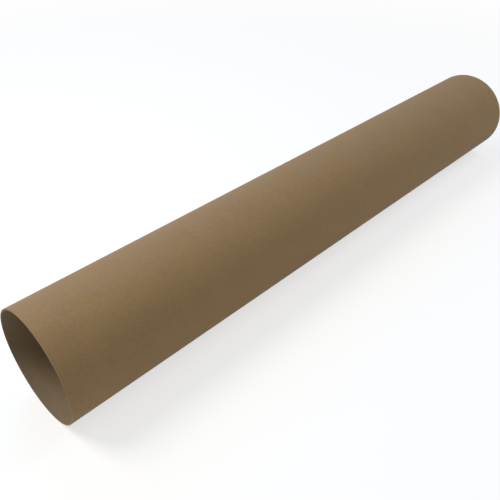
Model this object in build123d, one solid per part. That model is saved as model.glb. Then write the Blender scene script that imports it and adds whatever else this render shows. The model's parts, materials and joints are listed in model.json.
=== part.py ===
from build123d import *
import os

# Open cardboard tube, spirally wound from plies of kraft board and cut square at both ends.
# It lies along X. The origin is under the middle of its length, on the surface that it lies on.

# Driving dimensions, in millimetres

inside_diameter = 150.0  # clear bore
wall_thickness = 2.0     # all plies together
tube_length = 1000.0     # from one cut end to the other

# Radii of the two faces of the wall

inside_radius = inside_diameter / 2
outside_radius = inside_radius + wall_thickness

# The tube touches the surface below along one line, so its axis is one outside radius up

tube_axis = Axis((0, 0, outside_radius), (1, 0, 0))


def wall_section():
    """The wall cut lengthwise above the axis: a long flat strip with square corners."""
    wall_middle = outside_radius + inside_radius + wall_thickness / 2
    with BuildSketch(Plane.XZ) as section:
        with Locations((0, wall_middle)):
            Rectangle(tube_length, wall_thickness)
    return section.sketch


def cardboard_tube():
    """The wall's section turned once round the axis, which leaves the bore open from end to end."""
    return revolve(wall_section(), axis=tube_axis)


os.makedirs("parts", exist_ok=True)
export_step(cardboard_tube(), "parts/cardboard_tube.step")
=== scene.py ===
import json
import math
import random

import bmesh
import bpy
from mathutils import Euler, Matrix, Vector


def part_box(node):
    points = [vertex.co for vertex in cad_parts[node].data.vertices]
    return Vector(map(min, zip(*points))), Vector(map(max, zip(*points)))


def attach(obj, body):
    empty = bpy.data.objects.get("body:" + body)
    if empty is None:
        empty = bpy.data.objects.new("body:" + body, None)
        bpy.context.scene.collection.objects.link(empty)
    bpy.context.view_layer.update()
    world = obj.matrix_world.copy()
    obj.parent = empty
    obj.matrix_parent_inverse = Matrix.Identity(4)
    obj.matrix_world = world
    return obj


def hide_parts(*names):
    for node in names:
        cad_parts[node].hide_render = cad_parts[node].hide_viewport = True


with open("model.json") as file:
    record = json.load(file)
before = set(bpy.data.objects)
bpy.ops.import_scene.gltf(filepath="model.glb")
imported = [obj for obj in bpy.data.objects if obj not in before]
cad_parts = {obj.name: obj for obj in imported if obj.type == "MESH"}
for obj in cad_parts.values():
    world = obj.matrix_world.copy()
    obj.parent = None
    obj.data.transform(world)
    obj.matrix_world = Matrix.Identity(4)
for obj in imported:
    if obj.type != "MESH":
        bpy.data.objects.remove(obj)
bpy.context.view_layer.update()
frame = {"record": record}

# Open cardboard tube, wound spirally from plies of brown kraft board, lying on a pale floor.
# Lengths are in metres. The tube's axis is along X, and its near end is at -X.
# Angles round the tube start at the top and grow towards the camera's side.

NODE = "cardboard_tube"
MM = 0.001
TURN = 2 * math.pi

random.seed(7)


def mount(name):
    """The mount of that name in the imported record."""
    return next(m for m in frame["record"]["mounts"] if m["name"] == name)


# Sizes that come from the frame

tube_low, tube_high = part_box(NODE)
HALF_LENGTH = (tube_high.x - tube_low.x) / 2
OUTER_R = mount("outside")["dims"]["r_mm"] * MM
INNER_R = mount("bore")["dims"]["r_mm"] * MM
AXIS_HEIGHT = mount("bore")["pos_m"][2]

# The outer ply's seam: how far it moves along the tube in one turn, and where it crosses the top.
# The inner ply's seam has the same pitch and starts further along.

SEAM_PITCH = 1.538 * OUTER_R
SEAM_AT_TOP = -HALF_LENGTH + 0.34 * OUTER_R
SEAM_RISE = SEAM_PITCH / TURN
INNER_SEAM_AT_TOP = SEAM_AT_TOP + 0.37 * SEAM_PITCH

# Camera, from the photograph's perspective

CAMERA_AT = Vector((-0.6527, -0.4882, 0.6012))
CAMERA_AZIMUTH = math.radians(-44.55)
CAMERA_ELEVATION = math.radians(35.49)
LENS_MM = 42.27
SENSOR_MM = 36.0
FRAME_SHIFT = (0.0234, -0.0475)
CLIP_RANGE = (0.01, 50.0)


def add_camera():
    data = bpy.data.cameras.new("camera")
    data.sensor_width = SENSOR_MM
    data.lens = LENS_MM
    data.shift_x, data.shift_y = FRAME_SHIFT
    data.clip_start, data.clip_end = CLIP_RANGE
    camera = bpy.data.objects.new("camera", data)
    camera.location = CAMERA_AT
    camera.rotation_euler = Euler((math.pi / 2 - CAMERA_ELEVATION, 0, CAMERA_AZIMUTH))
    bpy.context.scene.collection.objects.link(camera)
    bpy.context.scene.camera = camera


# Out-of-round of the whole wall, which both faces share: (waves round, length of one wave along
# the tube, height, phase)

WALL_WAVES = [
    (2, 3.1, 0.07 * MM, 0.4),
    (3, 1.3, 0.03 * MM, 2.1),
    (5, 0.55, 0.012 * MM, 4.0),
    (9, 0.31, 0.006 * MM, 1.1),
]
WAVE_REACH = sum(height for _, _, height, _ in WALL_WAVES)


def wall_wave(angle, x):
    return sum(
        height * math.cos(around * angle + TURN * x / length + phase)
        for around, length, height, phase in WALL_WAVES
    )


# Relief of a ply's face: a soft lip before its own seam and a soft hollow after it, as (place
# from the seam, half width, height), and a broad rise over the seam of the ply below

SEAM_HUMPS = [
    (-3 * MM, 4 * MM, 0.020 * MM),
    (5 * MM, 6 * MM, -0.020 * MM),
]
RISE_BELOW = (0.0, 9 * MM, 0.010 * MM)

# Room left under the outside diameter for the relief

RELIEF_TOP = 0.045 * MM


def hump(place, centre, half_width, height):
    return height * math.exp(-(((place - centre) / half_width) ** 2))


def from_seam(angle, x, start):
    """Distance along the tube from the nearest turn of the seam that crosses the top at start."""
    distance = (x - start - SEAM_RISE * angle) % SEAM_PITCH
    return distance - SEAM_PITCH if distance > SEAM_PITCH / 2 else distance


def seam_relief(angle, x, start):
    """Height of a ply's face. The ply below has its seam half a pitch away."""
    own = from_seam(angle, x, start)
    below = from_seam(angle, x, start + SEAM_PITCH / 2)
    return sum(hump(own, *shape) for shape in SEAM_HUMPS) + hump(below, *RISE_BELOW)


def outer_radius(angle, x):
    mean = OUTER_R - WAVE_REACH - RELIEF_TOP
    return mean + wall_wave(angle, x) + seam_relief(angle, x, SEAM_AT_TOP)


def inner_radius(angle, x):
    mean = INNER_R - WAVE_REACH
    return mean + wall_wave(angle, x) - seam_relief(angle, x, INNER_SEAM_AT_TOP)


class MeshLists:
    """Points and faces of the tube while it is built."""

    def __init__(self):
        self.points = []
        self.faces = []

    def point(self, x, angle, radius):
        y = -radius * math.sin(angle)
        z = AXIS_HEIGHT + radius * math.cos(angle)
        self.points.append((x, y, z))
        return len(self.points) - 1


# Mesh of a face: points in one turn, and places across a pitch, which crowd beside the seams

AROUND = 192
PITCH_IN_PLACES = 118.4
PLACES = [
    0.0, 1.0, 2.0, 3.5, 5.5, 8.0, 12.0, 20.0, 32.0, 44.0, 52.0,
    59.2, 66.0, 76.0, 88.0, 98.0, 106.0, 111.0, 114.0, 116.0, 117.4,
]
ACROSS = [place / PITCH_IN_PLACES for place in PLACES]

# The two long faces stop this far before the cut ends

EDGE = 0.35 * MM


def wound_face(lists, radius_at, start, reach):
    """A face of the wall laid out along its ply, so that the mesh follows the seam.
    Returns the rings of points at the low and high ends."""
    turns_low = math.floor((-reach - start) / SEAM_PITCH) - 1
    turns_high = math.ceil((reach - start) / SEAM_PITCH) + 1
    made, ends = {}, {-1: {}, 1: {}}

    def corner(row, column):
        """The point at that row and column. Past an end, it slides back to the end's ring."""
        if column == len(ACROSS):
            row, column = row + AROUND, 0
        if (row, column) not in made:
            angle = TURN * row / AROUND
            x = start + SEAM_RISE * angle + ACROSS[column] * SEAM_PITCH
            side = -1 if x <= -reach else 1 if x >= reach else 0
            if not side:
                made[row, column] = lists.point(x, angle, radius_at(angle, x))
            else:
                ring, x, place = ends[side], side * reach, row % AROUND
                if place not in ring:
                    ring[place] = lists.point(x, angle, radius_at(angle, x))
                made[row, column] = ring[place]
        return made[row, column]

    for row in range(turns_low * AROUND, turns_high * AROUND + 1):
        for column in range(len(ACROSS)):
            corners = [
                corner(row, column),
                corner(row, column + 1),
                corner(row + 1, column + 1),
                corner(row + 1, column),
            ]
            corners = list(dict.fromkeys(corners))
            if len(corners) > 2:
                lists.faces.append(corners)
    return [[ends[side][i] for i in range(AROUND)] for side in (-1, 1)]


# The cut end, from the outer face to the inner one: (share of the wall, distance in from the end).
# Both corners are worn, each ply stands out a little, and the glue lines between plies lie deeper.

PLIES = 4
WORN_CORNER = [(0.0, 0.22 * MM), (0.02, 0.10 * MM), (0.06, 0.03 * MM)]
PLY_SHOULDER = 0.07
PLY_ROUNDING = 0.01 * MM
GLUE_LINE = 0.07 * MM
FRAY = 0.04 * MM


def end_profile():
    profile = list(WORN_CORNER)
    for ply in range(PLIES):
        middle = (ply + 0.5) / PLIES
        profile.append((middle - PLY_SHOULDER, PLY_ROUNDING))
        profile.append((middle, 0.0))
        profile.append((middle + PLY_SHOULDER, PLY_ROUNDING))
        if ply < PLIES - 1:
            profile.append(((ply + 1) / PLIES, GLUE_LINE))
    return profile + [(1.0 - share, depth) for share, depth in reversed(WORN_CORNER)]


def cut_end(lists, side, outer_ring, inner_ring):
    """Joins the two faces at one end by rings that follow the cut plies."""
    x_end = side * HALF_LENGTH
    fray = [random.uniform(0, FRAY) for _ in range(AROUND)]
    rings = [outer_ring]
    for share, depth in end_profile():
        ring = []
        for i in range(AROUND):
            angle = TURN * i / AROUND
            outside, inside = outer_radius(angle, x_end), inner_radius(angle, x_end)
            x = side * (HALF_LENGTH - depth - fray[i])
            ring.append(lists.point(x, angle, outside + (inside - outside) * share))
        rings.append(ring)
    rings.append(inner_ring)
    for first, second in zip(rings, rings[1:]):
        for i in range(AROUND):
            j = (i + 1) % AROUND
            lists.faces.append([first[i], first[j], second[j], second[i]])


def add_tube():
    lists = MeshLists()
    reach = HALF_LENGTH - EDGE
    outer_ends = wound_face(lists, outer_radius, SEAM_AT_TOP, reach)
    inner_ends = wound_face(lists, inner_radius, INNER_SEAM_AT_TOP, reach)
    for side, outer_ring, inner_ring in zip((-1, 1), outer_ends, inner_ends):
        cut_end(lists, side, outer_ring, inner_ring)
    mesh = bpy.data.meshes.new("kraft_tube")
    mesh.from_pydata(lists.points, [], lists.faces)
    mesh.validate()
    work = bmesh.new()
    work.from_mesh(mesh)
    bmesh.ops.recalc_face_normals(work, faces=work.faces)
    for face in work.faces:
        face.smooth = True
    work.to_mesh(mesh)
    work.free()
    tube = bpy.data.objects.new("kraft_tube", mesh)
    bpy.context.scene.collection.objects.link(tube)
    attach(tube, "root")
    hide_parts(NODE)
    return tube


class Nodes:
    """Short calls that add a node to a material or a world and give back its socket."""

    MIX_COLOUR_INPUTS = (0, 6, 7)
    MIX_COLOUR_OUTPUT = 2

    def __init__(self, owner, output="ShaderNodeOutputMaterial"):
        owner.use_nodes = True
        self.owner = owner
        self.tree = owner.node_tree
        self.tree.nodes.clear()
        self.output = self.tree.nodes.new(output)

    def finish(self, shader):
        self.tree.links.new(shader, self.output.inputs["Surface"])
        return self.owner

    def set_input(self, socket, value):
        if isinstance(value, bpy.types.NodeSocket):
            self.tree.links.new(value, socket)
        else:
            socket.default_value = value

    def set_inputs(self, sockets, values):
        for socket, value in zip(sockets, values):
            self.set_input(socket, value)

    def node(self, kind, settings=None, **inputs):
        """A node with these settings. Inputs are named with underscores for spaces."""
        made = self.tree.nodes.new(kind)
        for key, value in (settings or {}).items():
            setattr(made, key, value)
        for key, value in inputs.items():
            self.set_input(made.inputs[key.replace("_", " ")], value)
        return made

    def math(self, operation, *values):
        made = self.node("ShaderNodeMath", {"operation": operation})
        self.set_inputs(made.inputs, values)
        return made.outputs[0]

    def vector(self, x, y, z):
        return self.node("ShaderNodeCombineXYZ", X=x, Y=y, Z=z).outputs[0]

    def noise(self, vector, scale, detail, roughness):
        made = self.node(
            "ShaderNodeTexNoise", Vector=vector, Scale=scale, Detail=detail, Roughness=roughness
        )
        return made.outputs["Fac"]

    def range(self, value, low, high, to_low, to_high):
        """The value carried from one range to another, and held at its ends."""
        made = self.node("ShaderNodeMapRange")
        self.set_inputs(made.inputs, (value, low, high, to_low, to_high))
        return made.outputs[0]

    def colours(self, blend, share, first, second):
        made = self.node("ShaderNodeMix", {"data_type": "RGBA", "blend_type": blend})
        sockets = [made.inputs[i] for i in self.MIX_COLOUR_INPUTS]
        self.set_inputs(sockets, (share, first, second))
        return made.outputs[self.MIX_COLOUR_OUTPUT]

    def glow(self, colour, strength):
        return self.node("ShaderNodeEmission", Color=colour, Strength=strength).outputs[0]

    def shaders(self, share, first, second):
        made = self.node("ShaderNodeMixShader")
        self.set_inputs(made.inputs, (share, first, second))
        return made.outputs[0]

    def shown(self):
        """1 for rays that show the background: to the camera, mirrored or through glass."""
        rays = self.node("ShaderNodeLightPath").outputs
        mirrored = self.math("MAXIMUM", rays["Is Camera Ray"], rays["Is Glossy Ray"])
        return self.math("MAXIMUM", mirrored, rays["Is Transmission Ray"])


# Kraft board as linear colour: the outer ply is browner than the inner one. The inner colour
# is full up to the first distance outside the bore, and gone from the second one on.

OUTER_KRAFT = (0.360, 0.233, 0.115, 1.0)
INNER_KRAFT = (0.298, 0.218, 0.143, 1.0)
INNER_REACH = (0.2 * MM, 0.6 * MM)

# Noises on the unrolled ply: scale, detail and roughness. Fibres and streaks are drawn out along
# the ply. The third coordinate keeps the two faces apart.

CLOUD = (22.0, 3.0, 0.55)
MOTTLE = (240.0, 3.0, 0.6)
FIBRE = (1900.0, 2.0, 0.6)
STREAK = (420.0, 2.0, 0.5)
HUE = (45.0, 5.0, 0.7)
FIBRE_SQUEEZE = 0.16
STREAK_SQUEEZE = 0.03
DEPTH_SCALE = 3.0

# The middle of a noise's values, and how far it then swings the tone or the hue to either side

NOISE_SPAN = (0.3, 0.7)
CLOUD_SWING = 0.026
MOTTLE_SWING = 0.060
FIBRE_SWING = 0.07
STREAK_SWING = 0.012
HUE_SWING = 0.030
BLUE_SHARE = 2.0

# The ply's cut edge is a little paler, and a band before it is a little darker, as painted shade
# beside the seam: where its middle is, how far from it the tone is full, how far from it the tone
# is gone, and the tone

SEAM_EDGE = (0.0, 0.2 * MM, 0.7 * MM, 0.06)
SEAM_PAINTED_SHADE = (-10 * MM, 2 * MM, 10 * MM, -0.004)

# Surface: roughness, shine, and relief of fibres and mottle as (strength, height)

ROUGHNESS = (0.70, 0.80)
SPECULAR_LEVEL = 0.20
FIBRE_BUMP = (0.35, 0.05 * MM)
MOTTLE_BUMP = (0.30, 0.10 * MM)


def kraft_material():
    n = Nodes(bpy.data.materials.new("kraft_board"))
    axes = n.node("ShaderNodeSeparateXYZ", Vector=n.node("ShaderNodeTexCoord").outputs["Object"])
    x, y, z = axes.outputs
    up = n.math("SUBTRACT", z, AXIS_HEIGHT)
    angle = n.math("ARCTAN2", n.math("MULTIPLY", y, -1.0), up)
    radius = n.math("SQRT", n.math("ADD", n.math("MULTIPLY", y, y), n.math("MULTIPLY", up, up)))

    # place on the unrolled ply: across it from its seam, and along it turn after turn
    inner_full, inner_gone = INNER_REACH
    inner = n.range(radius, INNER_R + inner_full, INNER_R + inner_gone, 1.0, 0.0)
    start = n.range(inner, 0.0, 1.0, SEAM_AT_TOP, INNER_SEAM_AT_TOP)
    wound = n.math("SUBTRACT", n.math("SUBTRACT", x, start), n.math("MULTIPLY", angle, SEAM_RISE))
    turn = n.math("FLOOR", n.math("DIVIDE", wound, SEAM_PITCH))
    across = n.math("SUBTRACT", wound, n.math("MULTIPLY", turn, SEAM_PITCH))
    turned = n.math("ADD", angle, n.math("MULTIPLY", turn, TURN))
    along = n.math("MULTIPLY", turned, OUTER_R)
    depth = n.math("MULTIPLY", radius, DEPTH_SCALE)

    def drawn_out(squeeze):
        return n.vector(across, n.math("MULTIPLY", along, squeeze), depth)

    def swing(noise, reach):
        return n.range(noise, *NOISE_SPAN, -reach, reach)

    # tones, from broad clouds to single fibres
    flat = n.vector(across, along, depth)
    mottle = n.noise(flat, *MOTTLE)
    fibre = n.noise(drawn_out(FIBRE_SQUEEZE), *FIBRE)
    streak = n.noise(drawn_out(STREAK_SQUEEZE), *STREAK)
    tone = n.math("ADD", swing(n.noise(flat, *CLOUD), CLOUD_SWING), swing(mottle, MOTTLE_SWING))
    tone = n.math("ADD", tone, swing(fibre, FIBRE_SWING))
    tone = n.math("ADD", tone, swing(streak, STREAK_SWING))

    # tones beside the seam, from the signed distance to its nearest turn: a paler edge, painted
    # shade
    far_half = n.math("GREATER_THAN", across, SEAM_PITCH / 2)
    nearest = n.math("SUBTRACT", across, n.math("MULTIPLY", far_half, SEAM_PITCH))
    for middle, full, gone, change in (SEAM_EDGE, SEAM_PAINTED_SHADE):
        away = n.math("ABSOLUTE", n.math("SUBTRACT", nearest, middle))
        tone = n.math("ADD", tone, n.range(away, full, gone, change, 0.0))

    # colour: the ply's own, times the tone in each channel
    level = n.math("ADD", 1.0, tone)
    hue = swing(n.noise(flat, *HUE), HUE_SWING)
    red = n.math("ADD", level, hue)
    blue = n.math("SUBTRACT", level, n.math("MULTIPLY", hue, BLUE_SHARE))
    board = n.colours("MIX", inner, OUTER_KRAFT, INNER_KRAFT)
    base = n.colours("MULTIPLY", 1.0, board, n.vector(red, level, blue))

    # relief: single fibres, and the board's faint unevenness over them
    relief = None
    for height, (strength, distance) in ((fibre, FIBRE_BUMP), (mottle, MOTTLE_BUMP)):
        bump = n.node("ShaderNodeBump", Height=height, Strength=strength, Distance=distance)
        if relief is not None:
            n.set_input(bump.inputs["Normal"], relief)
        relief = bump.outputs[0]

    roughness = n.range(mottle, *NOISE_SPAN, *ROUGHNESS)
    shader = n.node("ShaderNodeBsdfPrincipled", Base_Color=base, Roughness=roughness, Normal=relief)
    shader.inputs["Specular IOR Level"].default_value = SPECULAR_LEVEL
    return n.finish(shader.outputs[0])


WHITE = (1.0, 1.0, 1.0, 1.0)

# Floor: what it throws back on the tube, the grey that takes the shadow, the glow under that,
# and the distances from the middle between which it fades to plain white

FLOOR_SIZE = 30.0
FLOOR_DROP = 0.1 * MM
FLOOR_BOUNCE = (0.93, 0.93, 0.93, 1.0)
FLOOR_SHADED = (0.5, 0.5, 0.5, 1.0)
FLOOR_GLOW = 0.66
FLOOR_FADE = (0.5, 1.8)


def floor_material():
    """Pale where it shows: a glow, and a shaded part that keeps the tube's shadow."""
    n = Nodes(bpy.data.materials.new("floor"))
    bounce = n.node("ShaderNodeBsdfDiffuse", Color=FLOOR_BOUNCE).outputs[0]
    shaded = n.node("ShaderNodeBsdfDiffuse", Color=FLOOR_SHADED).outputs[0]
    near = n.node("ShaderNodeAddShader")
    n.set_inputs(near.inputs, (shaded, n.glow(WHITE, FLOOR_GLOW)))
    away = n.node("ShaderNodeVectorMath", {"operation": "LENGTH"})
    n.set_input(away.inputs[0], n.node("ShaderNodeTexCoord").outputs["Object"])
    fade = n.range(away.outputs["Value"], *FLOOR_FADE, 0.0, 1.0)
    pale = n.shaders(fade, near.outputs[0], n.glow(WHITE, 1.0))
    return n.finish(n.shaders(n.shown(), bounce, pale))


def add_floor():
    half = FLOOR_SIZE / 2
    corners = [(-half, -half, 0), (half, -half, 0), (half, half, 0), (-half, half, 0)]
    mesh = bpy.data.meshes.new("floor")
    mesh.from_pydata(corners, [], [(0, 1, 2, 3)])
    floor = bpy.data.objects.new("floor", mesh)
    floor.location.z = -FLOOR_DROP
    mesh.materials.append(floor_material())
    bpy.context.scene.collection.objects.link(floor)


# Light: even light all round, and soft lamps behind, above the near end and above the far end,
# as (name, place, aim, watts, colour)

WORLD_LEVEL = 0.294
WORLD_COLOUR = (1.0, 1.0, 0.83, 1.0)
LAMP_SIZE = 0.7
LAMPS = [
    ("behind", (0.0, 1.07, 0.98), (0.0, 0.0, AXIS_HEIGHT), 6.0, (0.15, 0.38, 1.0)),
    ("near_end", (-1.0, 0.59, 1.35), (-0.3, 0.0, AXIS_HEIGHT), 11.1, (1.0, 0.967, 0.927)),
    ("far_end", (1.0, -0.59, 1.35), (0.3, 0.0, AXIS_HEIGHT), 5.7, (0.67, 0.745, 1.0)),
]


def add_light():
    n = Nodes(bpy.data.worlds.new("studio"), "ShaderNodeOutputWorld")
    lit = n.node("ShaderNodeBackground", Color=WORLD_COLOUR, Strength=WORLD_LEVEL).outputs[0]
    seen = n.node("ShaderNodeBackground", Color=WHITE, Strength=1.0).outputs[0]
    bpy.context.scene.world = n.finish(n.shaders(n.shown(), lit, seen))
    for name, at, aim, watts, colour in LAMPS:
        data = bpy.data.lights.new(name, "AREA")
        data.shape = "DISK"
        data.size = LAMP_SIZE
        data.color = colour
        data.energy = watts
        lamp = bpy.data.objects.new(name, data)
        lamp.location = at
        lamp.rotation_euler = (Vector(aim) - Vector(at)).to_track_quat("-Z", "Y").to_euler()
        bpy.context.scene.collection.objects.link(lamp)


add_camera()
bpy.context.scene.view_settings.view_transform = "Standard"
add_floor()
add_light()
tube = add_tube()
tube.data.materials.append(kraft_material())
